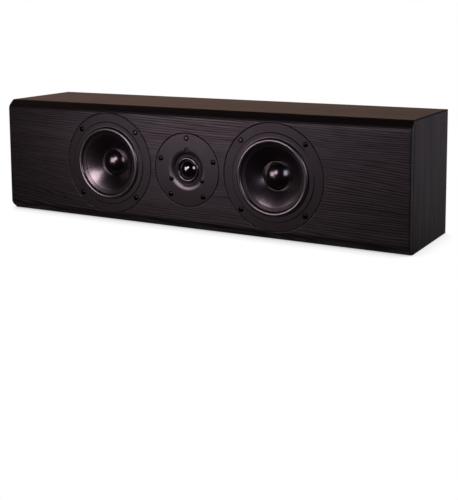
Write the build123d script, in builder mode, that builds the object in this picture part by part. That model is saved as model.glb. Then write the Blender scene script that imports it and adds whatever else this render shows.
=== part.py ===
from build123d import *
import os

# Centre channel loudspeaker: two bass-midrange drivers either side of a dome tweeter,
# in a long, low cabinet with a separate bevelled front baffle.
# Millimetres. X runs along the cabinet, Y from the front to the back, Z up.
# The origin is under the middle of the cabinet, on the surface that it stands on.

# Cabinet
cabinet_width = 650.0
cabinet_depth = 152.0
panel_thickness = 15.0
back_thickness = 15.0
baffle_thickness = 24.0
baffle_proud = 12.0
bevel_height = 9.0
bevel_arris_radius = 10.0
baffle_end_radius = 2.0
shadow_gap = 1.5
plug_clearance = 0.2
rim_margin = 3.0
driver_gap = 8.5
brace_thickness = 12.0
brace_rim = 22.0
brace_window_radius = 18.0
pad_thickness = 25.0
pad_margin = 6.0

# Woofer: ring by ring from the rim inwards, then from the front backwards
woofer_flange_radius = 74.0
woofer_flange_width = 12.5
woofer_flange_thickness = 5.0
flange_clearance = 0.5
flange_edge_radius = 0.6
gasket_thickness = 1.5
gasket_inset = 1.0
basket_body_inset = 1.5
basket_hole_clearance = 2.0
basket_hole_relief = 4.0
landing_width = 7.3
landing_bevel = 1.2
roll_width = 8.2
roll_height = 3.6
surround_thickness = 1.0
surround_glue_width = 4.2
surround_glue_fall = 2.0
cone_thickness = 1.0
cone_neck_depth = 19.0
cap_radius = 20.0
cap_seat_depth = 12.8
cap_height = 8.5
cap_thickness = 0.8
cap_bead_radius = 0.7
spider_shelf_radius = 39.0
spider_shelf_width = 5.0
spider_shelf_depth = 30.0
spider_thickness = 0.6
spider_wave_height = 1.4
spider_wave_count = 6
spider_clearance = 0.5
basket_floor_depth = 40.0
basket_floor_thickness = 3.0
basket_floor_rim = 6.0
basket_foot_inset = 3.0
spoke_count = 6
spoke_width = 11.0
window_margin = 4.0
coil_running_gap = 0.35
pole_radius = 12.2
former_thickness = 0.3
former_above_neck = 1.5
winding_thickness = 0.55
winding_overhang = 2.5
top_plate_radius = 40.0
top_plate_thickness = 6.0
magnet_radius = 44.0
magnet_bore_clearance = 6.0
magnet_thickness = 15.0
back_plate_thickness = 6.0

# Tweeter
tweeter_flange_radius = 52.0
tweeter_flange_thickness = 3.0
tweeter_gasket_thickness = 1.0
flare_radius = 30.0
throat_radius = 21.5
throat_depth = 2.5
faceplate_boss_inset = 2.0
faceplate_boss_depth = 3.5
tweeter_hole_clearance = 2.0
dome_radius = 13.25
dome_height = 6.0
dome_roll_width = 5.2
dome_roll_height = 2.2
dome_thickness = 0.5
dome_ring_width = 6.0
tweeter_winding_thickness = 0.4
tweeter_former_length = 6.0
tweeter_plate_radius = 36.0
tweeter_plate_thickness = 4.0
tweeter_magnet_thickness = 10.0
tweeter_back_plate_thickness = 5.0

# Fasteners
screw_shank_radius = 1.9
screw_shank_clearance = 0.4
screw_head_radius = 3.6
screw_head_height = 2.6
screw_head_round = 1.8
screw_head_clearance = 0.5
screw_seat_depth = 1.6
screw_length = 18.0
screw_cross_length = 4.2
screw_cross_width = 1.0
screw_cross_depth = 1.2
woofer_screw_count = 4
woofer_screw_angle = 45.0
tweeter_screw_count = 5
tweeter_screw_angle = 90.0
tweeter_screw_edge = 6.8
tweeter_screw_length = 15.0
faceplate_screw_count = 3
faceplate_screw_circle_radius = 29.0
faceplate_screw_scale = 0.8
faceplate_screw_seat = 1.6
faceplate_screw_bite = 3.0

# Terminals on the drivers
tab_width = 4.8
tab_thickness = 0.8
tab_length = 10.0
tab_spacing = 10.0
tab_block_width = 18.0
tab_block_thickness = 4.0
tab_block_depth = 6.0
tab_block_clearance = 0.4
tweeter_tab_drop = 18.0

# Rear terminal cup and binding posts
cup_mouth_radius = 31.0
cup_flange_width = 9.0
cup_flange_thickness = 3.0
cup_draft = 2.0
cup_depth = 28.0
cup_wall = 2.5
cup_corner_radius = 4.0
cup_lip_radius = 1.0
cup_clearance = 0.4
cup_screw_count = 4
cup_screw_angle = 45.0
cup_screw_scale = 0.6
cup_screw_length = 10.0
post_spacing = 19.05
post_flange_radius = 6.0
post_flange_thickness = 2.0
post_radius = 3.5
post_length = 20.0
post_socket_radius = 2.0
post_socket_depth = 14.0
post_wire_hole_radius = 1.4
post_wire_hole_height = 2.6
post_tail_radius = 3.0
post_tail_length = 12.0
washer_thickness = 1.0
knob_clearance = 0.1
knob_radius = 6.75
knob_length = 16.0
knob_chamfer = 0.8
knob_flute_count = 16
knob_flute_radius = 0.8
post_nut_flats = 10.0
post_nut_thickness = 4.0

# Crossover and wiring
board_thickness = 1.6
board_front_margin = 27.0
board_back_margin = 8.0
board_side_margin = 4.0
support_radius = 3.0
support_height = 8.0
support_peg_radius = 2.0
support_peg_length = 6.0
support_head_radius = 2.6
support_head_height = 2.0
support_inset = 6.0
component_margin = 2.0
component_gap = 0.1
inductor_radius = 14.0
inductor_core_radius = 6.0
inductor_height = 16.0
inductor_flange_thickness = 1.5
inductor_flange_step = 1.0
capacitor_radius = 7.5
capacitor_length = 28.0
capacitor_edge_radius = 1.0
resistor_length = 25.0
resistor_width = 9.0
wire_radius = 1.2
wire_bend_radius = 7.0
wire_edge_margin = 3.0
wire_landing_spacing = 6.0
wire_run_out = 9.0
ring_lug_radius = 5.0
ring_lug_thickness = 0.8
ring_lug_width = 5.0
ring_lug_reach = 12.0
input_wire_drop = 16.0
input_wire_jog = 9.0

# Planes and places that follow from the sizes above
woofer_pitch = tweeter_flange_radius + driver_gap + woofer_flange_radius
cabinet_height = 2 * (woofer_flange_radius + rim_margin + bevel_height)
dome_reach = dome_height - faceplate_boss_depth
roll_reach = roll_height + surround_thickness
front_y = (max(dome_reach, roll_reach) - cabinet_depth) / 2
back_y = front_y + cabinet_depth
carcass_front_y = front_y + baffle_proud
baffle_back_y = front_y + baffle_thickness
back_inner_y = back_y - back_thickness
carcass_depth = back_y - carcass_front_y
inner_width = cabinet_width - 2 * panel_thickness
inner_height = cabinet_height - 2 * panel_thickness
outer_x = cabinet_width / 2
inner_x = inner_width / 2
inner_top = cabinet_height - panel_thickness
driver_z = cabinet_height / 2
brace_x = tweeter_flange_radius + driver_gap / 2
sides = {"left": -1, "right": 1}

landing_radius = woofer_flange_radius - woofer_flange_width
basket_body_radius = landing_radius - basket_body_inset
roll_outer_radius = landing_radius - landing_width
roll_inner_radius = roll_outer_radius - roll_width
glue_edge_radius = roll_inner_radius - surround_glue_width
basket_floor_radius = top_plate_radius + basket_floor_rim
woofer_rebate = woofer_flange_thickness + gasket_thickness
woofer_hole_radius = basket_body_radius + basket_hole_clearance
screw_circle_radius = (landing_radius + woofer_flange_radius) / 2
former_inner_radius = pole_radius + coil_running_gap
former_radius = former_inner_radius + former_thickness
winding_radius = former_radius + winding_thickness
gap_radius = winding_radius + coil_running_gap
magnet_bore_radius = gap_radius + magnet_bore_clearance
top_plate_depth = basket_floor_depth + basket_floor_thickness
magnet_depth = top_plate_depth + top_plate_thickness
back_plate_depth = magnet_depth + magnet_thickness

tweeter_rebate = tweeter_flange_thickness + tweeter_gasket_thickness
tweeter_hole_radius = tweeter_plate_radius + tweeter_hole_clearance
tweeter_screw_circle_radius = tweeter_flange_radius - tweeter_screw_edge
dome_roll_radius = dome_radius + dome_roll_width
dome_ring_radius = dome_roll_radius + dome_ring_width
tweeter_former_inner = dome_radius - former_thickness
tweeter_pole_radius = tweeter_former_inner - coil_running_gap
tweeter_winding_radius = dome_radius + tweeter_winding_thickness
tweeter_gap_radius = tweeter_winding_radius + coil_running_gap
tweeter_plate_depth = faceplate_boss_depth + dome_thickness
tweeter_magnet_depth = tweeter_plate_depth + tweeter_plate_thickness
tweeter_back_depth = tweeter_magnet_depth + tweeter_magnet_thickness
tweeter_rear_depth = tweeter_back_depth + tweeter_back_plate_thickness

cup_flange_radius = cup_mouth_radius + cup_flange_width
cup_screw_circle_radius = cup_mouth_radius + (cup_wall + cup_flange_width) / 2
cup_floor_y = back_y - cup_depth
cup_inner_y = cup_floor_y - cup_wall
post_places = {"red": -post_spacing / 2, "black": post_spacing / 2}
knob_seat = post_flange_thickness + washer_thickness
knob_bore_radius = post_radius + knob_clearance

board_z = panel_thickness + support_height
board_top_z = board_z + board_thickness
board_half_width = brace_x - brace_thickness / 2 - board_side_margin
board_front_y = baffle_back_y + board_front_margin
board_back_y = back_inner_y - board_back_margin
board_middle_y = (board_front_y + board_back_y) / 2
support_x = board_half_width - support_inset
support_front_y = board_front_y + support_inset
support_back_y = board_back_y - support_inset
support_places = [(x, y) for x in (-support_x, support_x) for y in (support_front_y, support_back_y)]

os.makedirs("parts", exist_ok=True)


def face_plane(x, depth=0.0):
    """Drawing plane that looks out of the front, at a depth behind the baffle's face."""
    return Plane(origin=(x, front_y + depth, driver_z), x_dir=(1, 0, 0), z_dir=(0, -1, 0))


def section_plane(x):
    """Half-section of a driver: the first coordinate is the radius, the second points forward."""
    return Plane(origin=(x, front_y, driver_z), x_dir=(1, 0, 0), z_dir=(0, 0, -1))


def driver_axis(x):
    return Axis((x, front_y, driver_z), (0, -1, 0))


def rear_plane(x=0.0, y=back_y):
    """Drawing plane that looks out of the back."""
    return Plane(origin=(x, y, driver_z), x_dir=(-1, 0, 0), z_dir=(0, 1, 0))


def rear_section_plane(x, y):
    """Half-section of a rear fitting: the first coordinate is the radius, the second points rearward."""
    return Plane(origin=(x, y, driver_z), x_dir=(1, 0, 0), z_dir=(0, 0, 1))


def rear_axis(x):
    return Axis((x, back_y, driver_z), (0, 1, 0))


def save(piece, name):
    piece.part.label = name
    export_step(piece.part, f"parts/{name}.step")


def ring(plane, outer_radius, inner_radius, thickness):
    """A flat ring or disc, from the plane backwards."""
    with BuildPart() as washer:
        with BuildSketch(plane):
            Circle(outer_radius)
            if inner_radius > 0:
                Circle(inner_radius, mode=Mode.SUBTRACT)
        extrude(amount=-thickness)
    return washer


# Cabinet boards
def carcass_board(outline, peg_holes=()):
    """A mitred board of the carcass: its outline across the cabinet, run from back to front."""
    with BuildPart() as board:
        with BuildSketch(Plane.XZ.offset(-back_y)):
            with BuildLine():
                Polyline(*outline, close=True)
            make_face()
        extrude(amount=carcass_depth)
        if peg_holes:
            with BuildSketch(Plane.XY.offset(panel_thickness)):
                with Locations(*peg_holes):
                    Circle(support_peg_radius)
            extrude(amount=-support_peg_length, mode=Mode.SUBTRACT)
    return board


def level_outline(outer_z, inner_z):
    return [(-outer_x, outer_z), (outer_x, outer_z), (inner_x, inner_z), (-inner_x, inner_z)]


def upright_outline(side):
    return [
        (side * outer_x, 0),
        (side * outer_x, cabinet_height),
        (side * inner_x, inner_top),
        (side * inner_x, panel_thickness),
    ]


save(carcass_board(level_outline(cabinet_height, inner_top)), "top_panel")
save(carcass_board(level_outline(0, panel_thickness), support_places), "bottom_panel")
for side_name, side in sides.items():
    save(carcass_board(upright_outline(side)), f"{side_name}_panel")

with BuildPart() as back_panel:
    with BuildSketch(rear_plane()):
        Rectangle(inner_width, inner_height)
    extrude(amount=-back_thickness)
    with BuildSketch(rear_plane()):
        Circle(cup_flange_radius + cup_clearance)
    extrude(amount=-cup_flange_thickness, mode=Mode.SUBTRACT)
    with BuildSketch(rear_plane()):
        Circle(cup_mouth_radius + cup_wall + cup_clearance)
    extrude(amount=-back_thickness, mode=Mode.SUBTRACT)
    with BuildSketch(rear_plane()):
        with PolarLocations(cup_screw_circle_radius, cup_screw_count, start_angle=cup_screw_angle):
            Circle(screw_shank_radius * cup_screw_scale)
    extrude(amount=-(screw_head_height * cup_screw_scale + cup_screw_length), mode=Mode.SUBTRACT)
save(back_panel, "back_panel")

# Front baffle: a bevelled slab that stands proud of the carcass, a narrow neck that leaves
# the shadow line round it, and a plug that is glued inside the four boards.
with BuildPart() as front_baffle:
    with BuildSketch(Plane.YZ.offset(-outer_x)):
        with BuildLine():
            Polyline(
                (front_y, bevel_height),
                (carcass_front_y - shadow_gap, 0),
                (carcass_front_y - shadow_gap, cabinet_height),
                (front_y, cabinet_height - bevel_height),
                close=True,
            )
        make_face()
    extrude(amount=cabinet_width)
    fillet(front_baffle.edges().filter_by(Axis.X).group_by(Axis.Y)[0], bevel_arris_radius)
    end_faces = front_baffle.faces().filter_by(Axis.X)
    fillet(end_faces.edges().sort_by(Axis.Y)[:-2], baffle_end_radius)
    with BuildSketch(Plane.XZ.offset(-carcass_front_y)):
        with Locations((0, driver_z)):
            Rectangle(cabinet_width - 2 * shadow_gap, cabinet_height - 2 * shadow_gap)
    extrude(amount=shadow_gap)
    with BuildSketch(Plane.XZ.offset(-baffle_back_y)):
        with Locations((0, driver_z)):
            Rectangle(inner_width - 2 * plug_clearance, inner_height - 2 * plug_clearance)
    extrude(amount=baffle_thickness - baffle_proud)
    for side in sides.values():
        with BuildSketch(face_plane(side * woofer_pitch)):
            Circle(woofer_flange_radius + flange_clearance)
        extrude(amount=-woofer_rebate, mode=Mode.SUBTRACT)
        with BuildSketch(face_plane(side * woofer_pitch)):
            Circle(woofer_hole_radius)
        extrude(amount=-baffle_thickness, mode=Mode.SUBTRACT)
        with BuildSketch(face_plane(side * woofer_pitch)):
            with PolarLocations(
                screw_circle_radius, woofer_screw_count, start_angle=woofer_screw_angle
            ):
                Circle(screw_shank_radius)
        extrude(amount=-(screw_seat_depth + screw_length), mode=Mode.SUBTRACT)
    with BuildSketch(face_plane(0)):
        Circle(tweeter_flange_radius + flange_clearance)
    extrude(amount=-tweeter_rebate, mode=Mode.SUBTRACT)
    with BuildSketch(face_plane(0)):
        Circle(tweeter_hole_radius)
    extrude(amount=-baffle_thickness, mode=Mode.SUBTRACT)
    with BuildSketch(face_plane(0)):
        with PolarLocations(
            tweeter_screw_circle_radius, tweeter_screw_count, start_angle=tweeter_screw_angle
        ):
            Circle(screw_shank_radius)
    extrude(amount=-(screw_seat_depth + tweeter_screw_length), mode=Mode.SUBTRACT)
    rear_edges = front_baffle.edges().filter_by(GeomType.CIRCLE).group_by(Axis.Y)[-1]
    chamfer(rear_edges.sort_by(SortBy.RADIUS)[-2:], basket_hole_relief)
save(front_baffle, "front_baffle")


# Window braces between the tweeter and each woofer, glued to all four walls, and the felt pads
def window_brace(side):
    brace_depth = back_inner_y - baffle_back_y
    with BuildPart() as brace:
        with BuildSketch(Plane.YZ.offset(side * brace_x - brace_thickness / 2)):
            with Locations(((back_inner_y + baffle_back_y) / 2, driver_z)):
                Rectangle(brace_depth, inner_height)
                RectangleRounded(
                    brace_depth - 2 * brace_rim,
                    inner_height - 2 * brace_rim,
                    brace_window_radius,
                    mode=Mode.SUBTRACT,
                )
        extrude(amount=brace_thickness)
    return brace


def damping_pad(side):
    pad_start = brace_x + brace_thickness / 2 + pad_margin
    pad_end = inner_x - pad_margin
    with BuildPart() as pad:
        with BuildSketch(rear_plane(side * (pad_start + pad_end) / 2, back_inner_y)):
            RectangleRounded(pad_end - pad_start, inner_height - 2 * pad_margin, pad_margin)
        extrude(amount=-pad_thickness)
    return pad


for side_name, side in sides.items():
    save(window_brace(side), f"{side_name}_brace")
    save(damping_pad(side), f"{side_name}_damping_pad")


# Woofer pieces
def basket(x):
    """Moulded frame: flange that also carries the surround, spoked wall, spider shelf and floor."""
    foot_radius = basket_floor_radius - basket_foot_inset
    shelf_inner_radius = spider_shelf_radius - spider_shelf_width
    window_start = woofer_flange_thickness + window_margin
    window_end = spider_shelf_depth - window_margin
    with BuildPart() as frame:
        with BuildSketch(section_plane(x)):
            with BuildLine():
                Polyline(
                    (woofer_flange_radius, 0),
                    (roll_outer_radius, 0),
                    (spider_shelf_radius, -spider_shelf_depth),
                    (shelf_inner_radius, -spider_shelf_depth),
                    (shelf_inner_radius, -basket_floor_depth),
                    (magnet_bore_radius, -basket_floor_depth),
                    (magnet_bore_radius, -top_plate_depth),
                    (basket_floor_radius, -top_plate_depth),
                    (basket_floor_radius, -basket_floor_depth),
                    (foot_radius, -basket_floor_depth),
                    (basket_body_radius, -woofer_flange_thickness),
                    (woofer_flange_radius, -woofer_flange_thickness),
                    close=True,
                )
            make_face()
        revolve(axis=driver_axis(x))
        fillet(frame.edges().filter_by(GeomType.CIRCLE).group_by(Axis.Y)[0], flange_edge_radius)
        with BuildSketch(face_plane(x, window_start)):
            Circle(basket_body_radius)
            Circle(spider_shelf_radius, mode=Mode.SUBTRACT)
            with PolarLocations((basket_body_radius + spider_shelf_radius) / 2, spoke_count):
                Rectangle(basket_body_radius, spoke_width, mode=Mode.SUBTRACT)
        extrude(amount=-(window_end - window_start), mode=Mode.SUBTRACT)
        with BuildSketch(face_plane(x)):
            with PolarLocations(
                screw_circle_radius, woofer_screw_count, start_angle=woofer_screw_angle
            ):
                Circle(screw_head_radius + screw_head_clearance)
        extrude(amount=-screw_seat_depth, mode=Mode.SUBTRACT)
        with BuildSketch(face_plane(x)):
            with PolarLocations(
                screw_circle_radius, woofer_screw_count, start_angle=woofer_screw_angle
            ):
                Circle(screw_shank_radius + screw_shank_clearance)
        extrude(amount=-woofer_flange_thickness, mode=Mode.SUBTRACT)
    return frame


def surround(x):
    """Rubber half roll, with a bevelled landing on the flange and a glue land on the cone."""
    crest_radius = (roll_inner_radius + roll_outer_radius) / 2
    with BuildPart() as rubber:
        with BuildSketch(section_plane(x)):
            with BuildLine():
                ThreePointArc(
                    (roll_inner_radius, surround_thickness),
                    (crest_radius, roll_reach),
                    (roll_outer_radius, surround_thickness),
                )
                Polyline(
                    (roll_outer_radius, surround_thickness),
                    (landing_radius - landing_bevel, surround_thickness),
                    (landing_radius, 0),
                    (roll_outer_radius - surround_thickness, 0),
                )
                ThreePointArc(
                    (roll_outer_radius - surround_thickness, 0),
                    (crest_radius, roll_height),
                    (roll_inner_radius + surround_thickness, 0),
                )
                Polyline(
                    (roll_inner_radius + surround_thickness, 0),
                    (glue_edge_radius, -surround_glue_fall),
                    (glue_edge_radius, surround_thickness - surround_glue_fall),
                    (roll_inner_radius, surround_thickness),
                )
            make_face()
        revolve(axis=driver_axis(x))
    return rubber


def cone_section():
    """Half-section of the cone: a curved flare from the former, with a straight lip for the surround."""
    neck = Vector(former_radius, -cone_neck_depth)
    seat = Vector(cap_radius, -cap_seat_depth)
    flare_end = Vector(glue_edge_radius, -surround_glue_fall)
    lip_end = Vector(roll_inner_radius + surround_thickness, 0)
    behind = Vector(0, -cone_thickness)
    with BuildLine() as section:
        ThreePointArc(neck, seat, flare_end)
        Polyline(flare_end, lip_end, lip_end + behind, flare_end + behind)
        ThreePointArc(flare_end + behind, seat + behind, neck + behind)
        Line(neck + behind, neck)
    return section.edges()


def cone(x):
    with BuildPart() as membrane:
        with BuildSketch(section_plane(x)):
            make_face(cone_section())
        revolve(axis=driver_axis(x))
    return membrane


def dome_point(rim_radius, height, rim_level):
    """The point halfway out along a dome, between its crown and its rim."""
    sphere_radius = (rim_radius**2 + height**2) / (2 * height)
    drop = sphere_radius - (sphere_radius**2 - (rim_radius / 2) ** 2) ** 0.5
    return (rim_radius / 2, rim_level + height - drop)


def dust_cap(x):
    """Domed cap with a glue bead round its edge, seated on the cone's own face."""
    rim = -cap_seat_depth
    crown = rim + cap_height
    inner_radius = cap_radius - cap_thickness
    inner_crown = crown - cap_thickness
    with BuildPart() as cap:
        with BuildSketch(section_plane(x)):
            with BuildLine():
                ThreePointArc((0, crown), dome_point(cap_radius, cap_height, rim), (cap_radius, rim))
                Line((cap_radius, rim), (inner_radius, rim))
                ThreePointArc(
                    (inner_radius, rim),
                    dome_point(inner_radius, inner_crown - rim, rim),
                    (0, inner_crown),
                )
                Line((0, inner_crown), (0, crown))
            make_face()
            with Locations((cap_radius, rim)):
                Circle(cap_bead_radius)
            make_face(cone_section(), mode=Mode.SUBTRACT)
        revolve(axis=driver_axis(x))
    return cap


def spider(x):
    """Pleated centring disc between the former and its shelf in the basket."""
    base = -spider_shelf_depth
    edge_radius = spider_shelf_radius - spider_clearance
    pleat_start = former_radius + spider_wave_height
    pleat_end = spider_shelf_radius - spider_shelf_width - spider_wave_height
    pleat_width = (pleat_end - pleat_start) / spider_wave_count
    lower = [(former_radius, base), (pleat_start, base)]
    for pleat in range(spider_wave_count):
        lean = 1 if pleat % 2 else -1
        lower.append((pleat_start + (pleat + 0.5) * pleat_width, base + lean * spider_wave_height / 2))
    lower += [(pleat_end, base), (edge_radius, base)]
    upper = [(radius, level + spider_thickness) for radius, level in reversed(lower)]
    with BuildPart() as disc:
        with BuildSketch(section_plane(x)):
            with BuildLine():
                Polyline(*lower, *upper, close=True)
            make_face()
        revolve(axis=driver_axis(x))
    return disc


def voice_coil(x):
    """Former glued in the cone's neck, with the winding that stands in the magnet's gap."""
    former_top = former_above_neck - cone_neck_depth
    winding_top = winding_overhang - top_plate_depth
    winding_end = -(magnet_depth + winding_overhang)
    with BuildPart() as coil:
        with BuildSketch(section_plane(x)):
            with BuildLine():
                Polyline(
                    (former_inner_radius, former_top),
                    (former_radius, former_top),
                    (former_radius, winding_top),
                    (winding_radius, winding_top),
                    (winding_radius, winding_end),
                    (former_inner_radius, winding_end),
                    close=True,
                )
            make_face()
        revolve(axis=driver_axis(x))
    return coil


def yoke(x, plate_depth, plate_radius, plate_thickness, pole_radius, pole_start):
    """Back plate with the pole that stands up through the coil."""
    with BuildPart() as steel:
        with BuildSketch(face_plane(x, plate_depth)):
            Circle(plate_radius)
        extrude(amount=-plate_thickness)
        with BuildSketch(face_plane(x, plate_depth)):
            Circle(pole_radius)
        extrude(amount=plate_depth - pole_start)
    return steel


for side_name, side in sides.items():
    woofer_x = side * woofer_pitch
    save(basket(woofer_x), f"{side_name}_basket")
    save(surround(woofer_x), f"{side_name}_surround")
    save(cone(woofer_x), f"{side_name}_cone")
    save(dust_cap(woofer_x), f"{side_name}_dust_cap")
    save(spider(woofer_x), f"{side_name}_spider")
    save(voice_coil(woofer_x), f"{side_name}_voice_coil")
    plate_plane = face_plane(woofer_x, top_plate_depth)
    top_plate = ring(plate_plane, top_plate_radius, gap_radius, top_plate_thickness)
    save(top_plate, f"{side_name}_top_plate")
    magnet_plane = face_plane(woofer_x, magnet_depth)
    magnet = ring(magnet_plane, magnet_radius, magnet_bore_radius, magnet_thickness)
    save(magnet, f"{side_name}_magnet")
    woofer_yoke = yoke(
        woofer_x, back_plate_depth, top_plate_radius, back_plate_thickness, pole_radius, top_plate_depth
    )
    save(woofer_yoke, f"{side_name}_yoke")

woofer_centres = [(side * woofer_pitch, 0) for side in sides.values()]

with BuildPart() as woofer_gaskets:
    with BuildSketch(face_plane(0, woofer_flange_thickness)):
        with Locations(*woofer_centres):
            Circle(woofer_flange_radius - gasket_inset)
            Circle(woofer_hole_radius, mode=Mode.SUBTRACT)
            with PolarLocations(
                screw_circle_radius, woofer_screw_count, start_angle=woofer_screw_angle
            ):
                Circle(screw_shank_radius + screw_shank_clearance, mode=Mode.SUBTRACT)
    extrude(amount=-gasket_thickness)
save(woofer_gaskets, "woofer_gaskets")

# Terminal strips on the rims of the basket floors, on the sides that face the middle of the cabinet
block_start = top_plate_radius + tab_block_clearance
tab_depth = top_plate_depth + (tab_block_thickness - tab_thickness) / 2
with BuildPart() as woofer_terminals:
    for side in sides.values():
        with BuildSketch(face_plane(side * woofer_pitch, top_plate_depth)):
            with Locations((-side * (block_start + basket_floor_radius) / 2, 0)):
                Rectangle(basket_floor_radius - block_start, tab_block_width)
        extrude(amount=-tab_block_thickness)
        with BuildSketch(face_plane(side * woofer_pitch, tab_depth)):
            with Locations((-side * (basket_floor_radius + tab_length / 2), 0)):
                with GridLocations(0, tab_spacing, 1, 2):
                    Rectangle(tab_length, tab_width)
        extrude(amount=-tab_thickness)
save(woofer_terminals, "woofer_terminals")


# Screws: a rounded head with a cross recess on a round shank
def screw_set(plane, centres, circle_radius, count, start_angle, length, scale=1.0):
    """Rings of screws round the centres, with the heads seated on the plane and the shanks behind it."""
    outward = Axis(plane.origin, plane.z_dir)
    places = []
    for centre in centres:
        for place in PolarLocations(circle_radius, count, start_angle=start_angle):
            places.append(Location(centre) * place)
    with BuildPart() as screws:
        with BuildSketch(plane):
            with Locations(*places):
                Circle(screw_shank_radius * scale)
        extrude(amount=-length)
        with BuildSketch(plane):
            with Locations(*places):
                Circle(screw_head_radius * scale)
        extrude(amount=screw_head_height * scale)
        rims = screws.edges().filter_by(GeomType.CIRCLE).group_by(outward)[-1]
        fillet(rims, screw_head_round * scale)
        with BuildSketch(plane.offset(screw_head_height * scale)):
            with Locations(*places):
                Rectangle(screw_cross_length * scale, screw_cross_width * scale)
                Rectangle(screw_cross_width * scale, screw_cross_length * scale)
        extrude(amount=-screw_cross_depth * scale, mode=Mode.SUBTRACT)
    return screws


woofer_screws = screw_set(
    face_plane(0, screw_seat_depth),
    woofer_centres,
    screw_circle_radius,
    woofer_screw_count,
    woofer_screw_angle,
    screw_length,
)
save(woofer_screws, "woofer_screws")
tweeter_screws = screw_set(
    face_plane(0, screw_seat_depth),
    [(0, 0)],
    tweeter_screw_circle_radius,
    tweeter_screw_count,
    tweeter_screw_angle,
    tweeter_screw_length,
)
save(tweeter_screws, "tweeter_screws")
faceplate_screw_length = tweeter_plate_depth + faceplate_screw_bite - faceplate_screw_seat
faceplate_screws = screw_set(
    face_plane(0, faceplate_screw_seat),
    [(0, 0)],
    faceplate_screw_circle_radius,
    faceplate_screw_count,
    tweeter_screw_angle,
    faceplate_screw_length,
    faceplate_screw_scale,
)
save(faceplate_screws, "tweeter_faceplate_screws")
cup_screw_seat = screw_head_height * cup_screw_scale
cup_screws = screw_set(
    rear_plane(0, back_y - cup_screw_seat),
    [(0, 0)],
    cup_screw_circle_radius,
    cup_screw_count,
    cup_screw_angle,
    cup_screw_length,
    cup_screw_scale,
)
save(cup_screws, "terminal_cup_screws")

# Tweeter
faceplate_boss_radius = tweeter_plate_radius - faceplate_boss_inset
with BuildPart() as tweeter_faceplate:
    with BuildSketch(section_plane(0)):
        with BuildLine():
            Line((tweeter_flange_radius, 0), (flare_radius, 0))
            TangentArc((flare_radius, 0), (throat_radius, -throat_depth), tangent=(-1, 0))
            Polyline(
                (throat_radius, -throat_depth),
                (throat_radius, -faceplate_boss_depth),
                (faceplate_boss_radius, -faceplate_boss_depth),
                (faceplate_boss_radius, -tweeter_flange_thickness),
                (tweeter_flange_radius, -tweeter_flange_thickness),
                (tweeter_flange_radius, 0),
            )
        make_face()
    revolve(axis=driver_axis(0))
    front_rim = tweeter_faceplate.edges().filter_by(GeomType.CIRCLE).group_by(Axis.Y)[0]
    fillet(front_rim.sort_by(SortBy.RADIUS)[-1], flange_edge_radius)
    with BuildSketch(face_plane(0)):
        with PolarLocations(
            tweeter_screw_circle_radius, tweeter_screw_count, start_angle=tweeter_screw_angle
        ):
            Circle(screw_head_radius + screw_head_clearance)
    extrude(amount=-screw_seat_depth, mode=Mode.SUBTRACT)
    with BuildSketch(face_plane(0)):
        with PolarLocations(
            tweeter_screw_circle_radius, tweeter_screw_count, start_angle=tweeter_screw_angle
        ):
            Circle(screw_shank_radius + screw_shank_clearance)
    extrude(amount=-tweeter_flange_thickness, mode=Mode.SUBTRACT)
    with BuildSketch(face_plane(0)):
        with PolarLocations(
            faceplate_screw_circle_radius, faceplate_screw_count, start_angle=tweeter_screw_angle
        ):
            Circle(screw_head_radius * faceplate_screw_scale + screw_head_clearance)
    extrude(amount=-faceplate_screw_seat, mode=Mode.SUBTRACT)
    with BuildSketch(face_plane(0)):
        with PolarLocations(
            faceplate_screw_circle_radius, faceplate_screw_count, start_angle=tweeter_screw_angle
        ):
            Circle(screw_shank_radius * faceplate_screw_scale + screw_shank_clearance)
    extrude(amount=-faceplate_boss_depth, mode=Mode.SUBTRACT)
save(tweeter_faceplate, "tweeter_faceplate")


def diaphragm_line(back):
    """Front or back line of the diaphragm, from its clamped ring over the roll and the dome to the axis."""
    level = -faceplate_boss_depth - back
    roll_crest = ((dome_radius + dome_roll_radius) / 2, level + dome_roll_height)
    with BuildLine() as line:
        Line((dome_ring_radius, level), (dome_roll_radius, level))
        ThreePointArc((dome_roll_radius, level), roll_crest, (dome_radius, level))
        ThreePointArc(
            (dome_radius, level), dome_point(dome_radius, dome_height, level), (0, level + dome_height)
        )
    return line.edges()


with BuildPart() as tweeter_diaphragm:
    with BuildSketch(section_plane(0)):
        with BuildLine():
            add(diaphragm_line(0))
            add(diaphragm_line(dome_thickness))
            Line(
                (dome_ring_radius, -faceplate_boss_depth),
                (dome_ring_radius, -faceplate_boss_depth - dome_thickness),
            )
            Line(
                (0, dome_height - faceplate_boss_depth),
                (0, dome_height - faceplate_boss_depth - dome_thickness),
            )
        make_face()
    revolve(axis=driver_axis(0))
save(tweeter_diaphragm, "tweeter_diaphragm")

with BuildPart() as tweeter_voice_coil:
    with BuildSketch(face_plane(0, tweeter_plate_depth)):
        Circle(dome_radius)
        Circle(tweeter_former_inner, mode=Mode.SUBTRACT)
    extrude(amount=-tweeter_former_length)
    with BuildSketch(face_plane(0, tweeter_plate_depth + former_thickness)):
        Circle(tweeter_winding_radius)
        Circle(tweeter_former_inner, mode=Mode.SUBTRACT)
    extrude(amount=-(tweeter_former_length - former_thickness))
save(tweeter_voice_coil, "tweeter_voice_coil")

with BuildPart() as tweeter_top_plate:
    with BuildSketch(face_plane(0, tweeter_plate_depth)):
        Circle(tweeter_plate_radius)
        Circle(tweeter_gap_radius, mode=Mode.SUBTRACT)
    extrude(amount=-tweeter_plate_thickness)
    with BuildSketch(face_plane(0, tweeter_plate_depth)):
        with PolarLocations(
            faceplate_screw_circle_radius, faceplate_screw_count, start_angle=tweeter_screw_angle
        ):
            Circle(screw_shank_radius * faceplate_screw_scale)
    extrude(amount=-faceplate_screw_bite, mode=Mode.SUBTRACT)
save(tweeter_top_plate, "tweeter_top_plate")

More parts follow.
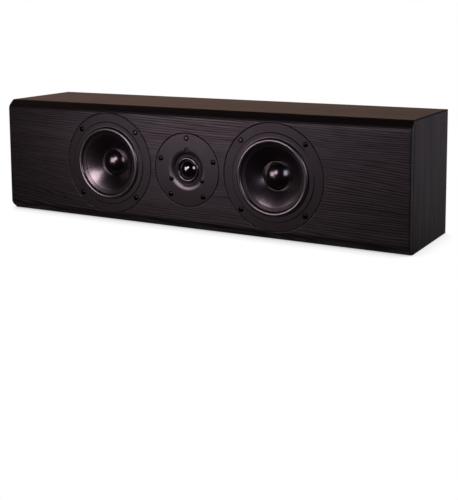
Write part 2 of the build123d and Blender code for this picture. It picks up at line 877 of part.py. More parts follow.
tweeter_magnet = ring(
    face_plane(0, tweeter_magnet_depth),
    tweeter_plate_radius,
    tweeter_gap_radius + magnet_bore_clearance,
    tweeter_magnet_thickness,
)
save(tweeter_magnet, "tweeter_magnet")
tweeter_yoke = yoke(
    0,
    tweeter_back_depth,
    tweeter_plate_radius,
    tweeter_back_plate_thickness,
    tweeter_pole_radius,
    tweeter_plate_depth,
)
save(tweeter_yoke, "tweeter_yoke")

with BuildPart() as tweeter_gasket:
    with BuildSketch(face_plane(0, tweeter_flange_thickness)):
        Circle(tweeter_flange_radius - gasket_inset)
        Circle(tweeter_hole_radius, mode=Mode.SUBTRACT)
        with PolarLocations(
            tweeter_screw_circle_radius, tweeter_screw_count, start_angle=tweeter_screw_angle
        ):
            Circle(screw_shank_radius + screw_shank_clearance, mode=Mode.SUBTRACT)
    extrude(amount=-tweeter_gasket_thickness)
save(tweeter_gasket, "tweeter_gasket")

with BuildPart() as tweeter_terminals:
    with BuildSketch(face_plane(0, tweeter_rear_depth)):
        with Locations((0, -tweeter_tab_drop)):
            Rectangle(tab_block_width, tab_block_depth)
    extrude(amount=-tab_block_thickness)
    with BuildSketch(face_plane(0, tweeter_rear_depth + tab_block_thickness)):
        with Locations((0, -tweeter_tab_drop)):
            with GridLocations(tab_spacing, 0, 2, 1):
                Rectangle(tab_width, tab_thickness)
    extrude(amount=-tab_length)
save(tweeter_terminals, "tweeter_terminals")

# Terminal cup, moulded in one piece, with its flange flush in the back panel
with BuildPart() as terminal_cup:
    with BuildSketch(rear_section_plane(0, back_y)):
        with BuildLine():
            Polyline(
                (cup_mouth_radius, 0),
                (cup_flange_radius, 0),
                (cup_flange_radius, -cup_flange_thickness),
                (cup_mouth_radius + cup_wall, -cup_flange_thickness),
                (cup_mouth_radius + cup_wall - cup_draft, -(cup_depth + cup_wall)),
                (0, -(cup_depth + cup_wall)),
                (0, -cup_depth),
                (cup_mouth_radius - cup_draft, -cup_depth),
                close=True,
            )
        make_face()
    revolve(axis=rear_axis(0))
    cup_circles = terminal_cup.edges().filter_by(GeomType.CIRCLE)
    floor_edge = cup_circles.filter_by_position(Axis.Y, cup_floor_y, cup_floor_y)
    fillet(floor_edge, cup_corner_radius)
    mouth_edge = terminal_cup.edges().filter_by(GeomType.CIRCLE).group_by(Axis.Y)[-1]
    fillet(mouth_edge.sort_by(SortBy.RADIUS)[0], cup_lip_radius)
    with BuildSketch(rear_plane()):
        with PolarLocations(cup_screw_circle_radius, cup_screw_count, start_angle=cup_screw_angle):
            Circle(screw_head_radius * cup_screw_scale + cup_clearance)
    extrude(amount=-cup_screw_seat, mode=Mode.SUBTRACT)
    with BuildSketch(rear_plane()):
        with PolarLocations(cup_screw_circle_radius, cup_screw_count, start_angle=cup_screw_angle):
            Circle(screw_shank_radius * cup_screw_scale)
    extrude(amount=-cup_flange_thickness, mode=Mode.SUBTRACT)
    with BuildSketch(rear_plane(0, cup_floor_y)):
        with GridLocations(post_spacing, 0, 2, 1):
            Circle(post_tail_radius)
    extrude(amount=-cup_wall, mode=Mode.SUBTRACT)
save(terminal_cup, "terminal_cup")


# Binding posts
def post_stud(x):
    """Turned stud: threaded tail through the cup, seating flange, and a post bored for a plug."""
    post_end = post_flange_thickness + post_length
    socket_floor = post_end - post_socket_depth
    with BuildPart() as stud:
        with BuildSketch(rear_section_plane(x, cup_floor_y)):
            with BuildLine():
                Polyline(
                    (0, -(cup_wall + post_tail_length)),
                    (post_tail_radius, -(cup_wall + post_tail_length)),
                    (post_tail_radius, 0),
                    (post_flange_radius, 0),
                    (post_flange_radius, post_flange_thickness),
                    (post_radius, post_flange_thickness),
                    (post_radius, post_end),
                    (post_socket_radius, post_end),
                    (post_socket_radius, socket_floor),
                    (0, socket_floor),
                    close=True,
                )
            make_face()
        revolve(axis=rear_axis(x))
        wire_hole_y = cup_floor_y + post_flange_thickness + post_wire_hole_height
        with BuildSketch(Plane.XY.offset(driver_z)):
            with Locations((x, wire_hole_y)):
                Circle(post_wire_hole_radius)
        extrude(amount=2 * post_radius, both=True, mode=Mode.SUBTRACT)
    return stud


def post_knob(x):
    """Fluted clamping knob, bored to run on the stud."""
    with BuildPart() as knob:
        with BuildSketch(rear_plane(x, cup_floor_y + knob_seat)):
            Circle(knob_radius)
        extrude(amount=knob_length)
        chamfer(knob.edges().filter_by(GeomType.CIRCLE), knob_chamfer)
        with BuildSketch(rear_plane(x, cup_floor_y + knob_seat)):
            Circle(knob_bore_radius)
            with PolarLocations(knob_radius, knob_flute_count):
                Circle(knob_flute_radius)
        extrude(amount=knob_length, mode=Mode.SUBTRACT)
    return knob


for colour, x in post_places.items():
    save(post_stud(x), f"{colour}_post_stud")
    washer_plane = rear_plane(x, cup_floor_y + knob_seat)
    post_washer = ring(washer_plane, post_flange_radius, knob_bore_radius, washer_thickness)
    save(post_washer, f"{colour}_post_washer")
    save(post_knob(x), f"{colour}_post_knob")

lug_y = cup_inner_y - ring_lug_thickness
with BuildPart() as post_nuts:
    with BuildSketch(rear_plane(0, lug_y)):
        with GridLocations(post_spacing, 0, 2, 1):
            RegularPolygon(post_nut_flats / 2, 6, major_radius=False)
            Circle(post_tail_radius, mode=Mode.SUBTRACT)
    extrude(amount=-post_nut_thickness)
save(post_nuts, "post_nuts")

# Crossover: board on push-in supports, with its coils, capacitors and resistors
board_middle = (0, board_middle_y)
with BuildPart() as crossover_board:
    with BuildSketch(Plane.XY.offset(board_z)):
        with Locations(board_middle):
            Rectangle(2 * board_half_width, board_back_y - board_front_y)
        with Locations(*support_places):
            Circle(support_peg_radius, mode=Mode.SUBTRACT)
    extrude(amount=board_thickness)
save(crossover_board, "crossover_board")

support_steps = [
    (panel_thickness - support_peg_length, support_peg_radius, support_peg_length),
    (panel_thickness, support_radius, support_height),
    (board_z, support_peg_radius, board_thickness),
    (board_top_z, support_head_radius, support_head_height),
]
with BuildPart() as crossover_supports:
    for level, radius, height in support_steps:
        with BuildSketch(Plane.XY.offset(level)):
            with Locations(*support_places):
                Circle(radius)
        extrude(amount=height)
save(crossover_supports, "crossover_supports")

capacitor_y = support_back_y - support_radius - component_margin - capacitor_radius
capacitor_z = board_top_z + component_gap + capacitor_radius
coil_x = support_x - inductor_radius
coil_y = capacitor_y - capacitor_radius - component_margin - inductor_radius
upright_coil = Plane(origin=(-coil_x, coil_y, board_top_z), z_dir=(0, 0, 1))
lying_coil = Plane(
    origin=(
        coil_x - inductor_height / 2,
        coil_y,
        board_top_z + component_gap + inductor_radius,
    ),
    z_dir=(1, 0, 0),
)
with BuildPart() as crossover_inductors:
    for coil_plane in (upright_coil, lying_coil):
        with BuildSketch(coil_plane):
            Circle(inductor_radius - inductor_flange_step)
            Circle(inductor_core_radius, mode=Mode.SUBTRACT)
        extrude(amount=inductor_height)
        for level in (0, inductor_height - inductor_flange_thickness):
            with BuildSketch(coil_plane.offset(level)):
                Circle(inductor_radius)
                Circle(inductor_core_radius, mode=Mode.SUBTRACT)
            extrude(amount=inductor_flange_thickness)
save(crossover_inductors, "crossover_inductors")

with BuildPart() as crossover_capacitors:
    for side in sides.values():
        capacitor_end = side * (board_half_width - component_margin)
        with BuildSketch(Plane.YZ.offset(capacitor_end)):
            with Locations((capacitor_y, capacitor_z)):
                Circle(capacitor_radius)
        extrude(amount=-side * capacitor_length)
    fillet(crossover_capacitors.edges().filter_by(GeomType.CIRCLE), capacitor_edge_radius)
save(crossover_capacitors, "crossover_capacitors")

resistor_x = (inductor_radius - inductor_height / 2) / 2
with BuildPart() as crossover_resistors:
    with BuildSketch(Plane.XY.offset(board_top_z)):
        with Locations((resistor_x, coil_y)):
            with GridLocations(0, resistor_width + component_margin, 1, 2):
                Rectangle(resistor_length, resistor_width)
    extrude(amount=resistor_width)
save(crossover_resistors, "crossover_resistors")


# Wiring: a pair of wires from each driver and from the posts to the board
def lead(routes):
    with BuildPart() as wires:
        for route in routes:
            with BuildLine():
                path = FilletPolyline(*route, radius=wire_bend_radius)
            with BuildSketch(Plane(origin=path @ 0, z_dir=path % 0)):
                Circle(wire_radius)
            sweep()
    return wires


tab_tip_y = front_y + top_plate_depth + tab_block_thickness / 2
for side_name, side in sides.items():
    tab_tip_x = side * (woofer_pitch - basket_floor_radius - tab_length)
    landing_x = side * (board_half_width - wire_edge_margin)
    woofer_routes = []
    for row in (-1, 1):
        wire_z = driver_z + row * tab_spacing / 2
        landing_y = coil_y + row * wire_landing_spacing / 2
        woofer_routes.append(
            [
                (tab_tip_x, tab_tip_y, wire_z),
                (tab_tip_x - side * wire_run_out, tab_tip_y, wire_z),
                (landing_x, landing_y, wire_z),
                (landing_x, landing_y, board_top_z),
            ]
        )
    save(lead(woofer_routes), f"{side_name}_woofer_lead")

tweeter_tip_y = front_y + tweeter_rear_depth + tab_block_thickness + tab_length
tweeter_tab_z = driver_z - tweeter_tab_drop
tweeter_routes = []
for row in (-1, 1):
    wire_x = row * tab_spacing / 2
    tweeter_routes.append(
        [
            (wire_x, tweeter_tip_y, tweeter_tab_z),
            (wire_x, board_front_y + wire_run_out, tweeter_tab_z),
            (wire_x, board_front_y + wire_run_out, board_top_z),
        ]
    )
save(lead(tweeter_routes), "tweeter_lead")

input_y = cup_inner_y - component_gap - wire_radius
lug_tip_z = driver_z - ring_lug_reach
input_routes = []
for x in post_places.values():
    input_routes.append(
        [
            (x, input_y, lug_tip_z),
            (x, input_y, lug_tip_z - input_wire_drop),
            (x, input_y - input_wire_jog, lug_tip_z - 2 * input_wire_drop),
            (x, input_y - input_wire_jog, board_top_z),
        ]
    )
with BuildPart() as input_lead:
    add(lead(input_routes).part)
    with BuildSketch(rear_plane(0, cup_inner_y)):
        with GridLocations(post_spacing, 0, 2, 1):
            Circle(ring_lug_radius)
            with Locations((0, -ring_lug_reach / 2)):
                Rectangle(ring_lug_width, ring_lug_reach)
            Circle(post_tail_radius, mode=Mode.SUBTRACT)
    extrude(amount=-ring_lug_thickness)
save(input_lead, "input_lead")
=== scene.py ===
import math

import bpy
from mathutils import Matrix, Vector


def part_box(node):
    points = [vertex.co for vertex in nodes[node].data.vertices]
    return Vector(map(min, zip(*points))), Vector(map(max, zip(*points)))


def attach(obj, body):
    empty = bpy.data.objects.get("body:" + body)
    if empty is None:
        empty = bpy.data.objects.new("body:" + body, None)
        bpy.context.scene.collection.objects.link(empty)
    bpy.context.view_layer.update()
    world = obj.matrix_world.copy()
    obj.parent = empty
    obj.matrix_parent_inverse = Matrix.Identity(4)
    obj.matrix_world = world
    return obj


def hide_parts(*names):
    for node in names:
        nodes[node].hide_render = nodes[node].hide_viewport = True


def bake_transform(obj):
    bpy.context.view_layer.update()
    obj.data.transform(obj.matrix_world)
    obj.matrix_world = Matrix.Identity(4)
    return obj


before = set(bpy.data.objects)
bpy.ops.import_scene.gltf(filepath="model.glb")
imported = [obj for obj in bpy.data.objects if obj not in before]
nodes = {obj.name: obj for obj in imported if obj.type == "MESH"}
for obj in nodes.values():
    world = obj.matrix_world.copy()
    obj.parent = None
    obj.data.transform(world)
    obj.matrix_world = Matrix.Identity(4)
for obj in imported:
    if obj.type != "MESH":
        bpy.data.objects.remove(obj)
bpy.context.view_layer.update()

# Looks of a centre channel loudspeaker: a black ash cabinet with two polypropylene woofers and a cloth dome.
# Metres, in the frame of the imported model: X along the cabinet, Y from front to back, Z up.
MM = 0.001
SIDES = ("left", "right")
baffle_low, baffle_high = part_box("front_baffle")
FRONT_Y = baffle_low.y
DRIVER_Z = (baffle_low.z + baffle_high.z) / 2
MEMBRANES = {"left": "left_cone", "right": "right_cone", "tweeter": "tweeter_diaphragm"}
DRIVER_X = {driver: sum(corner.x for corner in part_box(node)) / 2 for driver, node in MEMBRANES.items()}

# Surround, in section: radii from the driver's axis, heights and thickness
ROLL_INNER = 46.0 * MM
ROLL_OUTER = 54.2 * MM
ROLL_HEIGHT = 3.6 * MM
RUBBER = 1.0 * MM
LANDING_EDGE = 61.5 * MM
LANDING_BEVEL = 1.2 * MM
GLUE_EDGE = 41.8 * MM
GLUE_FALL = 2.0 * MM

# Cone, in section: where it meets the coil's former and the dust cap, and how steeply it leaves its rim
CONE_SHEET = 1.0 * MM
NECK_RADIUS = 12.85 * MM
NECK_DEPTH = 19.0 * MM
CAP_RADIUS = 20.0 * MM
CAP_DEPTH = 12.8 * MM
RIM_SLOPE = math.radians(21)

# Spider, in section: its pleats, and the flats that are glued to the former and to the basket's shelf
SPIDER_PLEATS = 6
SPIDER_SHELF = 5.0 * MM
SPIDER_CLOTH = 0.6 * MM
SPIDER_FLAT = 1.4 * MM

# Tweeter, seen from the front: the dome, and where the flare in its plate ends
DOME_RADIUS = 13.25 * MM
DOPE_EDGE = 1.0 * MM
FLARE_RADIUS = 30.0 * MM
FLARE_EDGE = 4.0 * MM


# Camera, at the photograph's place

IMAGE_WIDTH = 458
IMAGE_HEIGHT = 500
SENSOR = 36.0
CAMERA_PLACE = (719.96 * MM, FRONT_Y - 1183.63 * MM, 321.65 * MM)
CAMERA_YAW = 31.081
CAMERA_PITCH = -7.231
CAMERA_ROLL = -0.669
FOCAL_LENGTH_PX = 996.83
AXIS_X_PX = 190.0
AXIS_Y_PX = 127.76


def place_camera():
    """Camera turned by yaw, pitch and roll, with the lens axis shifted to where the photograph has it."""
    yaw, pitch, roll = (math.radians(angle) for angle in (CAMERA_YAW, CAMERA_PITCH, CAMERA_ROLL))
    forward = Vector((-math.sin(yaw) * math.cos(pitch), math.cos(yaw) * math.cos(pitch), math.sin(pitch)))
    right = Vector((math.cos(yaw), math.sin(yaw), 0))
    up = right.cross(forward)
    across = math.cos(roll) * right + math.sin(roll) * up
    upward = math.cos(roll) * up - math.sin(roll) * right
    lens = bpy.data.cameras.new("studio_camera")
    lens.sensor_width = SENSOR
    lens.lens = FOCAL_LENGTH_PX * SENSOR / IMAGE_HEIGHT
    lens.shift_x = (IMAGE_WIDTH / 2 - AXIS_X_PX) / IMAGE_HEIGHT
    lens.shift_y = (AXIS_Y_PX - IMAGE_HEIGHT / 2) / IMAGE_HEIGHT
    camera = bpy.data.objects.new("studio_camera", lens)
    turn = Matrix((across, upward, -forward)).transposed().to_4x4()
    camera.matrix_world = Matrix.Translation(CAMERA_PLACE) @ turn
    bpy.context.collection.objects.link(camera)
    bpy.context.scene.camera = camera


place_camera()


# Materials

def linear(colour):
    """Linear colour of an sRGB hex value such as "1b1618"."""
    levels = [int(colour[i:i + 2], 16) / 255 for i in (0, 2, 4)]
    return [v / 12.92 if v <= 0.04045 else ((v + 0.055) / 1.055) ** 2.4 for v in levels] + [1.0]


def add(tree, kind, sockets=None, **settings):
    """A new shader node with its settings, and with each named socket set to a value or fed by another socket."""
    node = tree.nodes.new("ShaderNode" + kind)
    for name, value in settings.items():
        setattr(node, name, value)
    for name, value in (sockets or {}).items():
        if isinstance(value, bpy.types.NodeSocket):
            tree.links.new(value, node.inputs[name])
        else:
            node.inputs[name].default_value = value
    return node


def new_finish(name):
    """An empty material, its tree, and the place of a point on the piece."""
    material = bpy.data.materials.new(name)
    material.use_nodes = True
    tree = material.node_tree
    tree.nodes.clear()
    return material, tree, add(tree, "TexCoord").outputs["Object"]


def surface(tree, sockets):
    """The shader that ends a finish. What is the same all over stands on its own sockets."""
    shader = add(tree, "BsdfPrincipled", sockets)
    add(tree, "OutputMaterial", {"Surface": shader.outputs["BSDF"]})


def per_size(size_mm):
    """Texture scale, in repeats a metre, of a pattern whose features are about this many millimetres wide."""
    return 1 / (size_mm * MM)


def two_tones(tree, amount, low, high, dark, light):
    """Colour that goes from dark to light as the amount goes from low to high."""
    ramp = add(tree, "ValToRGB", {"Fac": amount})
    ramp.color_ramp.elements[0].position = low
    ramp.color_ramp.elements[0].color = linear(dark)
    ramp.color_ramp.elements[1].position = high
    ramp.color_ramp.elements[1].color = linear(light)
    return ramp.outputs["Color"]


def from_driver_axis(tree, place, driver, measure):
    """How far a place is from a driver's axis, or at which angle round it."""
    centre = (DRIVER_X[driver], FRONT_Y, DRIVER_Z)
    offset = add(tree, "VectorMath", {0: place, 1: centre}, operation="SUBTRACT").outputs[0]
    across = add(tree, "VectorMath", {0: offset, 1: (1, 0, 1)}, operation="MULTIPLY").outputs[0]
    if measure == "LENGTH":
        return add(tree, "VectorMath", {0: across}, operation="LENGTH").outputs["Value"]
    axes = add(tree, "SeparateXYZ", {"Vector": across})
    return add(tree, "Math", {0: axes.outputs["Z"], 1: axes.outputs["X"]}, operation="ARCTAN2").outputs[0]


# A wave texture runs 20 radians a unit along one axis and 10 on the diagonal: these scales give one wave a unit
ONE_WAVE = 2 * math.pi / 20
ONE_WAVE_DIAGONAL = 2 * math.pi / 10

# Most of a noise lies between these two
NOISE_LOW = 0.3
NOISE_HIGH = 0.7

# Veneer sizes in millimetres: how far apart its lines are, how long they run and how far they wander
LINE_SPACING = 3.2
LINE_LENGTH = 90.0
BAND_WIDTH = 13.0
BAND_LENGTH = 420.0
WANDER = 7.0
WANDER_WIDTH = 60.0
WANDER_LENGTH = 260.0
KNOT_X = -217.9
KNOT_Z = 27.2
KNOT_WIDTH = 7.0
KNOT_HEIGHT = 3.0
PORE_DEPTH = 0.2
ARRIS_ROUND = 2.0

# Veneer: what counts as open and as dense wood in the grain, and how much satin lacquer stands on each
OPEN_WOOD = 0.1
DENSE_WOOD = 0.9
BAND_SHARE = 0.4
OPEN_LACQUER = 0.05
DENSE_LACQUER = 0.57
LACQUER_ROUGHNESS = 0.455
OPEN_ROUGHNESS = 0.47
DENSE_ROUGHNESS = 0.44
STAIN_SHEEN = 0.05


def black_ash(name, turn, knot=False):
    """Sliced ash veneer, stained black and sprayed with satin lacquer. The open early wood drinks the lacquer and
    stays dull in fine lines along the grain; the dense wood between them carries a soft grey sheen."""
    material, tree, place = new_finish(name)
    along = add(tree, "Mapping", {"Vector": place, "Rotation": turn}).outputs["Vector"]

    wander_scale = (per_size(WANDER_LENGTH), per_size(WANDER_WIDTH), per_size(WANDER_WIDTH))
    wander_place = add(tree, "Mapping", {"Vector": along, "Scale": wander_scale}).outputs["Vector"]
    wander = add(tree, "TexNoise", {"Vector": wander_place, "Scale": 1.0, "Detail": 1.5, "Roughness": 0.4})
    centred = {0: wander.outputs["Color"], 1: (0.5, 0.5, 0.5)}
    off = add(tree, "VectorMath", centred, operation="SUBTRACT").outputs[0]
    reach = (0.0, 2 * WANDER * MM, 2 * WANDER * MM)
    step = add(tree, "VectorMath", {0: off, 1: reach}, operation="MULTIPLY").outputs[0]
    figured = add(tree, "VectorMath", {0: along, 1: step}, operation="ADD").outputs[0]

    line_scale = (per_size(LINE_LENGTH), per_size(LINE_SPACING), per_size(LINE_SPACING))
    line_place = add(tree, "Mapping", {"Vector": figured, "Scale": line_scale}).outputs["Vector"]
    wavering = {"Scale": ONE_WAVE_DIAGONAL, "Distortion": 5.0, "Detail": 2.5, "Detail Roughness": 0.6}
    lines = add(tree, "TexWave", {"Vector": line_place} | wavering, bands_direction="DIAGONAL")
    band_scale = (per_size(BAND_LENGTH), per_size(BAND_WIDTH), per_size(BAND_WIDTH))
    band_place = add(tree, "Mapping", {"Vector": figured, "Scale": band_scale}).outputs["Vector"]
    bands = add(tree, "TexNoise", {"Vector": band_place, "Scale": 1.0, "Detail": 1.0})
    figure = {"Factor": BAND_SHARE, "A": lines.outputs["Fac"], "B": bands.outputs["Fac"]}
    grain = add(tree, "Mix", figure).outputs["Result"]

    if knot:
        knot_at = (KNOT_X * MM, FRONT_Y, KNOT_Z * MM)
        from_knot = add(tree, "VectorMath", {0: place, 1: knot_at}, operation="SUBTRACT").outputs[0]
        knot_scale = (2 * per_size(KNOT_WIDTH), 2 * per_size(KNOT_WIDTH), 2 * per_size(KNOT_HEIGHT))
        knot_place = add(tree, "VectorMath", {0: from_knot, 1: knot_scale}, operation="MULTIPLY").outputs[0]
        knot_far = add(tree, "VectorMath", {0: knot_place}, operation="LENGTH").outputs["Value"]
        clear = add(tree, "MapRange", {"Value": knot_far, "From Min": 0.5, "From Max": 1.2}).outputs["Result"]
        grain = add(tree, "Math", {0: grain, 1: clear}, operation="MULTIPLY").outputs[0]

    wood = {"Value": grain, "From Min": OPEN_WOOD, "From Max": DENSE_WOOD}
    lacquer = add(tree, "MapRange", wood | {"To Min": OPEN_LACQUER, "To Max": DENSE_LACQUER})
    dulling = add(tree, "MapRange", wood | {"To Min": OPEN_ROUGHNESS, "To Max": DENSE_ROUGHNESS})
    arris = add(tree, "Bevel", {"Radius": ARRIS_ROUND * MM}, samples=8).outputs["Normal"]
    pores = {"Height": grain, "Strength": 0.08, "Distance": PORE_DEPTH * MM, "Normal": arris}
    relief = add(tree, "Bump", pores).outputs["Normal"]
    surface(tree, {
        "Base Color": two_tones(tree, grain, OPEN_WOOD, DENSE_WOOD, "050404", "090707"),
        "IOR": 1.5,
        "Specular IOR Level": STAIN_SHEEN,
        "Roughness": dulling.outputs["Result"],
        "Normal": relief,
        "Coat Weight": lacquer.outputs["Result"],
        "Coat Roughness": LACQUER_ROUGHNESS,
        "Coat Normal": relief,
    })
    return material


# Moulded pieces: how much larger the clouds of tone are than the grit, and how far they change the gloss. The grit
# is drawn a few times coarser than the real one, which would be lost between the pixels.
CLOUD_PER_GRIT = 30
CLOUD_GLOSS = 0.06
GRIT_STRENGTH = 0.3
FLARE_POLISH = 0.9
PLATE_POLISH = 0.1
POLISH_ROUGHNESS = 0.3


def moulded(name, dark, light, roughness, grit_mm, depth_mm, ior, sheen=0.5, flare=False):
    """Plastic, rubber or board from a mould or press: even colour, with a fine grit that softens the gloss.
    The tweeter's flare was moulded against polished steel and shines more than the plate round it."""
    material, tree, place = new_finish(name)
    cloud_scale = per_size(grit_mm * CLOUD_PER_GRIT)
    cloud = add(tree, "TexNoise", {"Vector": place, "Scale": cloud_scale, "Detail": 2.0}).outputs["Fac"]
    grit = add(tree, "TexNoise", {"Vector": place, "Scale": per_size(grit_mm), "Detail": 2.0}).outputs["Fac"]
    clouded = {"Value": cloud, "From Min": NOISE_LOW, "From Max": NOISE_HIGH}
    dull, duller = roughness * (1 - CLOUD_GLOSS), roughness * (1 + CLOUD_GLOSS)
    gloss = add(tree, "MapRange", clouded | {"To Min": dull, "To Max": duller})
    relief = add(tree, "Bump", {"Height": grit, "Strength": GRIT_STRENGTH, "Distance": depth_mm * MM})
    sockets = {
        "Base Color": two_tones(tree, cloud, NOISE_LOW, NOISE_HIGH, dark, light),
        "IOR": ior,
        "Specular IOR Level": sheen,
        "Roughness": gloss.outputs["Result"],
        "Normal": relief.outputs["Normal"],
    }
    if flare:
        radius = from_driver_axis(tree, place, "tweeter", "LENGTH")
        edge = {"Value": radius, "From Min": FLARE_RADIUS - FLARE_EDGE, "From Max": FLARE_RADIUS}
        polish = add(tree, "MapRange", edge | {"To Min": FLARE_POLISH, "To Max": PLATE_POLISH})
        sockets |= {"Coat Weight": polish.outputs["Result"], "Coat Roughness": POLISH_ROUGHNESS}
    surface(tree, sockets)
    return material


# Cone: streaks a radian round the axis
STREAKS = 14.0


def drawn_cone(name, side):
    """Polypropylene sheet, drawn hot into a cone. The draw leaves faint streaks from the neck to the rim, which
    break the lamps' reflections into soft rays."""
    material, tree, place = new_finish(name)
    angle = from_driver_axis(tree, place, side, "ANGLE")
    round_axis = {"W": angle, "Scale": STREAKS, "Detail": 3.0, "Roughness": 0.6}
    streaks = add(tree, "TexNoise", round_axis, noise_dimensions="1D").outputs["Fac"]
    streaked = {"Value": streaks, "From Min": NOISE_LOW, "From Max": NOISE_HIGH}
    gloss = add(tree, "MapRange", streaked | {"To Min": 0.22, "To Max": 0.24})
    surface(tree, {
        "Base Color": two_tones(tree, streaks, NOISE_LOW, NOISE_HIGH, "030203", "050405"),
        "IOR": 1.65,
        "Roughness": gloss.outputs["Result"],
    })
    return material


# Surround: width of the edge between the polished roll and the dull landing, and of the clouds in the rubber
POLISH_EDGE = 1.0 * MM
RUBBER_CLOUD_MM = 18.0


def pressed_rubber(name, side):
    """Butyl rubber, pressed in a mould. The roll was pressed in a polished groove and shines in thin bright lines;
    the landing outside it was clamped between rough plates and stays dull."""
    material, tree, place = new_finish(name)
    radius = from_driver_axis(tree, place, side, "LENGTH")
    edge = {"Value": radius, "From Min": ROLL_OUTER, "From Max": ROLL_OUTER + POLISH_EDGE}
    polish = add(tree, "MapRange", edge | {"To Min": 1.0, "To Max": 0.0})
    cloud = add(tree, "TexNoise", {"Vector": place, "Scale": per_size(RUBBER_CLOUD_MM), "Detail": 2.0})
    surface(tree, {
        "Base Color": two_tones(tree, cloud.outputs["Fac"], NOISE_LOW, NOISE_HIGH, "050404", "070606"),
        "IOR": 1.52,
        "Specular IOR Level": 0.17,
        "Roughness": 0.45,
        "Coat Weight": polish.outputs["Result"],
        "Coat Roughness": 0.26,
    })
    return material


# Dope on the dome, and on the cloth's roll round it, where the brush left less
DOPE_ON_DOME = 1.0
DOPE_ON_ROLL = 0.6
DOPED_ROUGHNESS = 0.12
WEAVE_STRENGTH = 0.3


def woven(name, dark, light, roughness, thread_mm, depth_mm, sheen=0.5, dope=False):
    """Cloth: threads over and under each other, drawn from two crossing waves. Dope is a clear sticky coat brushed
    on the dome, which seals the cloth and gives it small, sharp glints."""
    material, tree, place = new_finish(name)
    thread = {"Vector": place, "Scale": per_size(thread_mm) * ONE_WAVE}
    warp, weft = (add(tree, "TexWave", thread, bands_direction=axis).outputs["Fac"] for axis in ("X", "Z"))
    weave = add(tree, "Math", {0: warp, 1: weft}, operation="MULTIPLY").outputs[0]
    relief = add(tree, "Bump", {"Height": weave, "Strength": WEAVE_STRENGTH, "Distance": depth_mm * MM})
    sockets = {
        "Base Color": two_tones(tree, weave, 0.1, 0.9, dark, light),
        "IOR": 1.5,
        "Specular IOR Level": sheen,
        "Roughness": roughness,
        "Normal": relief.outputs["Normal"],
    }
    if dope:
        radius = from_driver_axis(tree, place, "tweeter", "LENGTH")
        edge = {"Value": radius, "From Min": DOME_RADIUS - DOPE_EDGE, "From Max": DOME_RADIUS}
        coat = add(tree, "MapRange", edge | {"To Min": DOPE_ON_DOME, "To Max": DOPE_ON_ROLL})
        sealed = add(tree, "MapRange", edge | {"To Min": DOPED_ROUGHNESS, "To Max": roughness})
        sockets |= {
            "Roughness": sealed.outputs["Result"],
            "Coat Weight": coat.outputs["Result"],
            "Coat Roughness": 0.05,
            "Coat IOR": 1.6,
        }
    surface(tree, sockets)
    return material


# Plating: how far the bath's clouds change the gloss
BATH_GLOSS = 0.2


def plated(name, dark, light, roughness, cloud_mm):
    """Plated, drawn or blackened metal: bright, with faint clouding from the bath."""
    material, tree, place = new_finish(name)
    cloud = add(tree, "TexNoise", {"Vector": place, "Scale": per_size(cloud_mm), "Detail": 3.0}).outputs["Fac"]
    clouded = {"Value": cloud, "From Min": NOISE_LOW, "From Max": NOISE_HIGH}
    bright, dull = roughness * (1 - BATH_GLOSS), roughness * (1 + BATH_GLOSS)
    gloss = add(tree, "MapRange", clouded | {"To Min": bright, "To Max": dull})
    surface(tree, {
        "Base Color": two_tones(tree, cloud, 0.35, 0.65, dark, light),
        "Metallic": 1.0,
        "Roughness": gloss.outputs["Result"],
    })
    return material


ALONG_X = (0, 0, 0)
ALONG_Z = (0, math.radians(90), 0)

